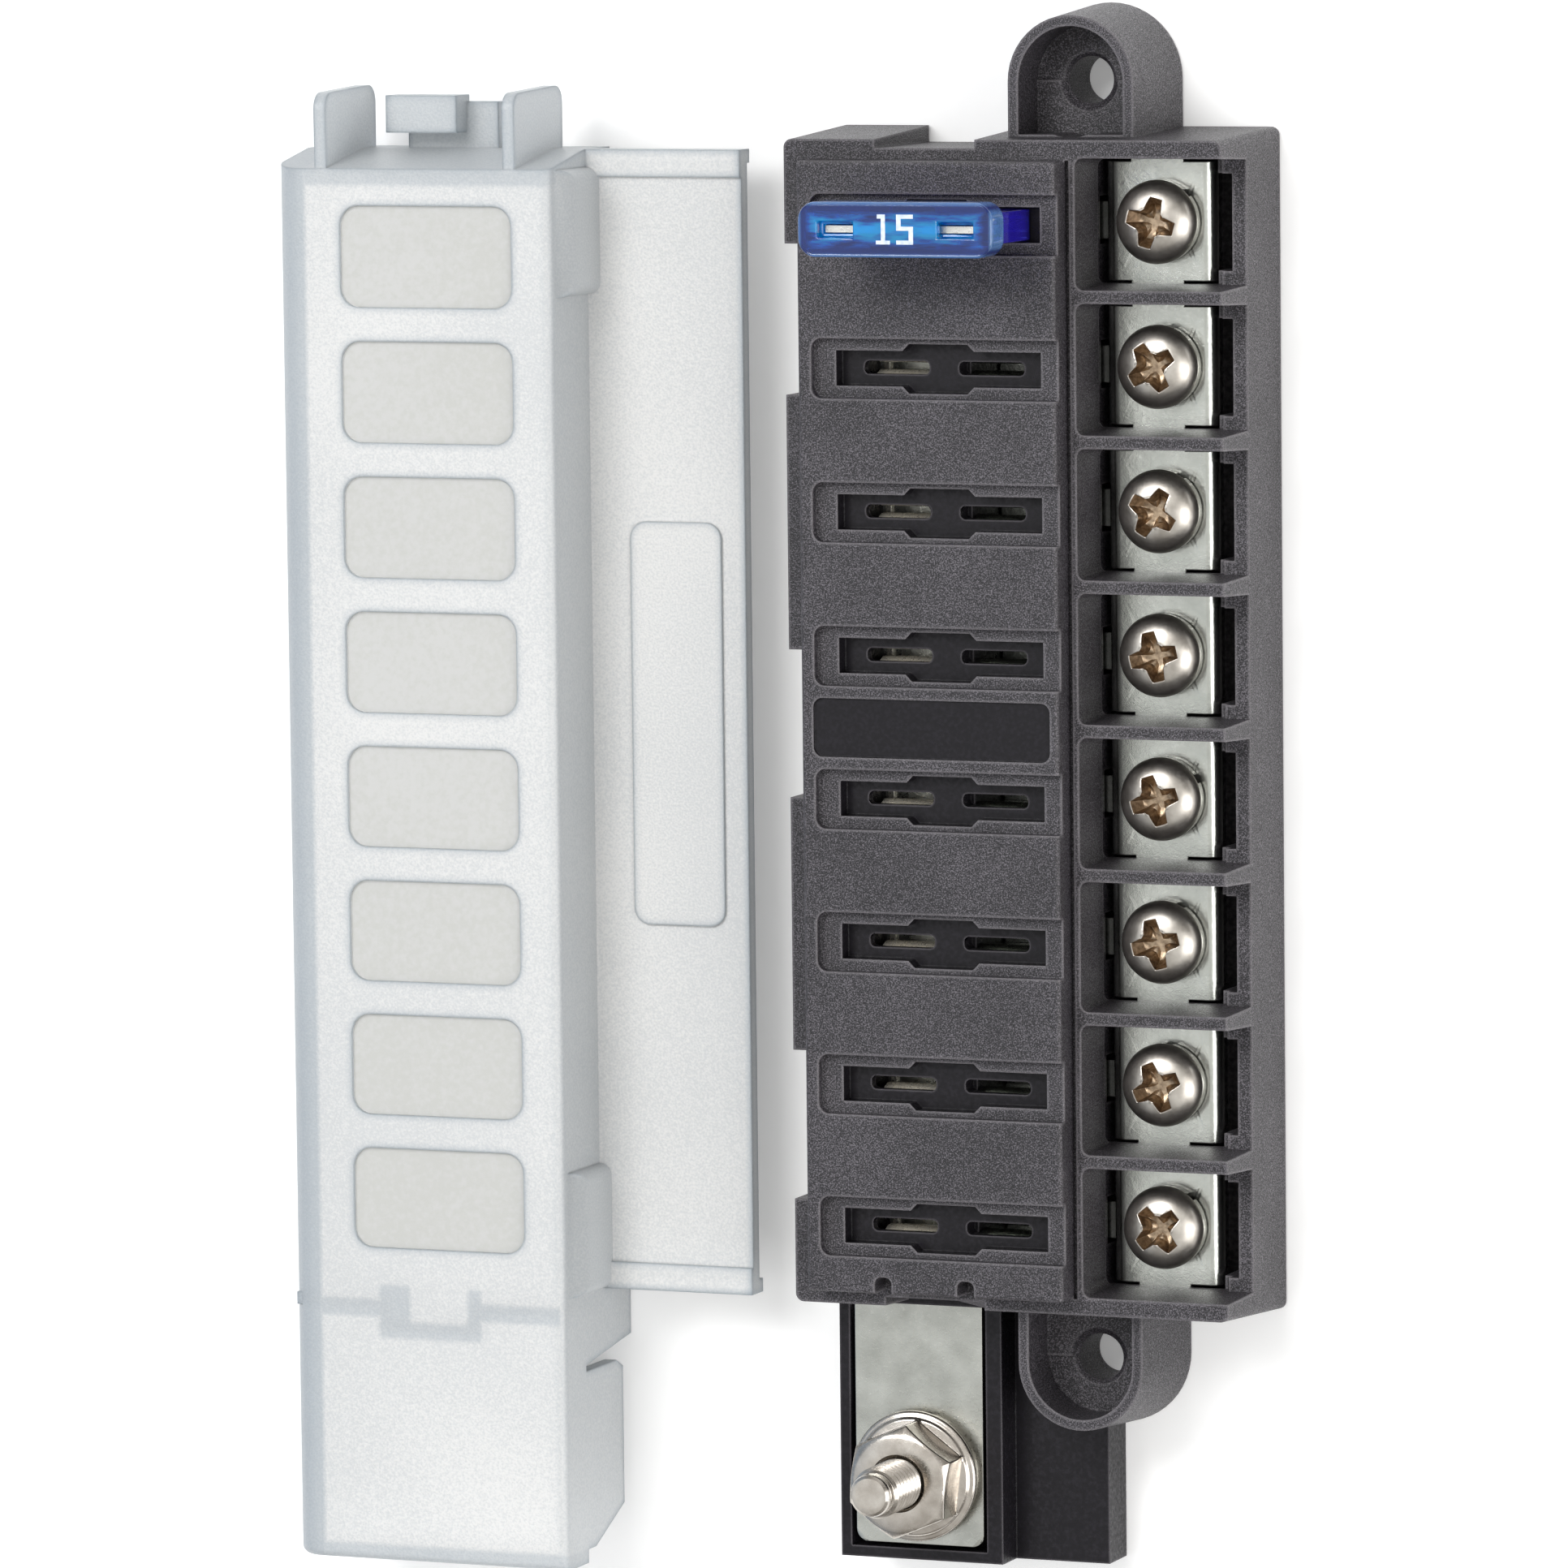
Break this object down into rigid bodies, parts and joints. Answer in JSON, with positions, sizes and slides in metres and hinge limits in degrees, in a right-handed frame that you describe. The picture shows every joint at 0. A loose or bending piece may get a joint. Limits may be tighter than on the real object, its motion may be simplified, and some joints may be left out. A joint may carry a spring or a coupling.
{
  "type": "blade fuse block",
  "caption": "Fuse block with a row of blade fuse sockets, screw terminals, a power stud, mounting ears, and a clear lift-off cover lying beside it.",
  "frame": {"origin": "midway between the two mounting holes, on the back face of the block", "axes": "+Z out of the front, along the mounting holes; +Y along the row of circuits, away from the power stud; +X towards the screw terminals"},
  "size_m": [0.0955, 0.1484, 0.027],
  "materials": {
    "black_plastic": "finely textured",
    "back_plate_plastic": "satin",
    "tinned_bar": "bright tin plate",
    "stud_steel": "bright rolled thread",
    "nut_steel": "bright nickel plate",
    "clear_blue_plastic": "clear",
    "fuse_metal": "plain stamped",
    "frosted_plastic": "frosted",
    "clip_metal": "bright tin plate",
    "terminal_metal": "bright tin plate",
    "washer_steel": "bright",
    "screw_steel": "bright nickel plate"
  },
  "bodies": {
    "block": {"housing": "black_plastic", "back_plate": "back_plate_plastic", "bus_bar": "tinned_bar", "power_stud": "stud_steel", "input_clip_1": "clip_metal", "input_clip_2": "clip_metal", "input_clip_3": "clip_metal", "input_clip_4": "clip_metal", "input_clip_5": "clip_metal", "input_clip_6": "clip_metal", "input_clip_7": "clip_metal", "input_clip_8": "clip_metal", "output_terminal_1": "terminal_metal", "output_terminal_2": "terminal_metal", "output_terminal_3": "terminal_metal", "output_terminal_4": "terminal_metal", "output_terminal_5": "terminal_metal", "output_terminal_6": "terminal_metal", "output_terminal_7": "terminal_metal", "output_terminal_8": "terminal_metal"},
    "stud_washer": {"stud_washer": "washer_steel"},
    "nut": {"stud_nut": "nut_steel"},
    "fuse": {"fuse_body": "clear_blue_plastic", "fuse_element": "fuse_metal"},
    "cover": {"cover": "frosted_plastic"},
    "washer_1": {"lock_washer_1": "washer_steel"},
    "screw_1": {"terminal_screw_1": "screw_steel"},
    "washer_2": {"lock_washer_2": "washer_steel"},
    "screw_2": {"terminal_screw_2": "screw_steel"},
    "washer_3": {"lock_washer_3": "washer_steel"},
    "screw_3": {"terminal_screw_3": "screw_steel"},
    "washer_4": {"lock_washer_4": "washer_steel"},
    "screw_4": {"terminal_screw_4": "screw_steel"},
    "washer_5": {"lock_washer_5": "washer_steel"},
    "screw_5": {"terminal_screw_5": "screw_steel"},
    "washer_6": {"lock_washer_6": "washer_steel"},
    "screw_6": {"terminal_screw_6": "screw_steel"},
    "washer_7": {"lock_washer_7": "washer_steel"},
    "screw_7": {"terminal_screw_7": "screw_steel"},
    "washer_8": {"lock_washer_8": "washer_steel"},
    "screw_8": {"terminal_screw_8": "screw_steel"}
  },
  "joints": [
    {"name": "cover_lift", "type": "slide", "parent": "block", "child": "cover", "axis": [0, 0, 1], "range_m": [0, 0.06]},
    {"name": "fuse_pull", "type": "slide", "parent": "block", "child": "fuse", "axis": [0, 0, 1], "range_m": [0, 0.03]},
    {"name": "stud_nut_rise", "type": "slide", "parent": "block", "child": "stud_washer", "axis": [0, 0, 1], "range_m": [0, 0.0119]},
    {"name": "stud_nut_turn", "type": "hinge", "parent": "stud_washer", "child": "nut", "pos_m": [-0.0175, -0.0716, 0.009], "axis": [0, 0, 1], "range_deg": [0, 5400]},
    {"name": "screw_rise_1", "type": "slide", "parent": "block", "child": "washer_1", "axis": [0, 0, 1], "range_m": [0, 0.00476]},
    {"name": "screw_turn_1", "type": "hinge", "parent": "washer_1", "child": "screw_1", "pos_m": [0.0074, 0.0469, 0.0082], "axis": [0, 0, 1], "range_deg": [0, 2160]},
    {"name": "screw_rise_2", "type": "slide", "parent": "block", "child": "washer_2", "axis": [0, 0, 1], "range_m": [0, 0.00476]},
    {"name": "screw_turn_2", "type": "hinge", "parent": "washer_2", "child": "screw_2", "pos_m": [0.0074, 0.0335, 0.0082], "axis": [0, 0, 1], "range_deg": [0, 2160]},
    {"name": "screw_rise_3", "type": "slide", "parent": "block", "child": "washer_3", "axis": [0, 0, 1], "range_m": [0, 0.00476]},
    {"name": "screw_turn_3", "type": "hinge", "parent": "washer_3", "child": "screw_3", "pos_m": [0.0074, 0.0201, 0.0082], "axis": [0, 0, 1], "range_deg": [0, 2160]},
    {"name": "screw_rise_4", "type": "slide", "parent": "block", "child": "washer_4", "axis": [0, 0, 1], "range_m": [0, 0.00476]},
    {"name": "screw_turn_4", "type": "hinge", "parent": "washer_4", "child": "screw_4", "pos_m": [0.0074, 0.0067, 0.0082], "axis": [0, 0, 1], "range_deg": [0, 2160]},
    {"name": "screw_rise_5", "type": "slide", "parent": "block", "child": "washer_5", "axis": [0, 0, 1], "range_m": [0, 0.00476]},
    {"name": "screw_turn_5", "type": "hinge", "parent": "washer_5", "child": "screw_5", "pos_m": [0.0074, -0.0067, 0.0082], "axis": [0, 0, 1], "range_deg": [0, 2160]},
    {"name": "screw_rise_6", "type": "slide", "parent": "block", "child": "washer_6", "axis": [0, 0, 1], "range_m": [0, 0.00476]},
    {"name": "screw_turn_6", "type": "hinge", "parent": "washer_6", "child": "screw_6", "pos_m": [0.0074, -0.0201, 0.0082], "axis": [0, 0, 1], "range_deg": [0, 2160]},
    {"name": "screw_rise_7", "type": "slide", "parent": "block", "child": "washer_7", "axis": [0, 0, 1], "range_m": [0, 0.00476]},
    {"name": "screw_turn_7", "type": "hinge", "parent": "washer_7", "child": "screw_7", "pos_m": [0.0074, -0.0335, 0.0082], "axis": [0, 0, 1], "range_deg": [0, 2160]},
    {"name": "screw_rise_8", "type": "slide", "parent": "block", "child": "washer_8", "axis": [0, 0, 1], "range_m": [0, 0.00476]},
    {"name": "screw_turn_8", "type": "hinge", "parent": "washer_8", "child": "screw_8", "pos_m": [0.0074, -0.0469, 0.0082], "axis": [0, 0, 1], "range_deg": [0, 2160]}
  ],
  "couplings": [
    {"joint": "stud_nut_turn", "follows": "stud_nut_rise", "rad_per_m": 7915.8},
    {"joint": "screw_turn_1", "follows": "screw_rise_1", "rad_per_m": 7915.8},
    {"joint": "screw_turn_2", "follows": "screw_rise_2", "rad_per_m": 7915.8},
    {"joint": "screw_turn_3", "follows": "screw_rise_3", "rad_per_m": 7915.8},
    {"joint": "screw_turn_4", "follows": "screw_rise_4", "rad_per_m": 7915.8},
    {"joint": "screw_turn_5", "follows": "screw_rise_5", "rad_per_m": 7915.8},
    {"joint": "screw_turn_6", "follows": "screw_rise_6", "rad_per_m": 7915.8},
    {"joint": "screw_turn_7", "follows": "screw_rise_7", "rad_per_m": 7915.8},
    {"joint": "screw_turn_8", "follows": "screw_rise_8", "rad_per_m": 7915.8}
  ]
}
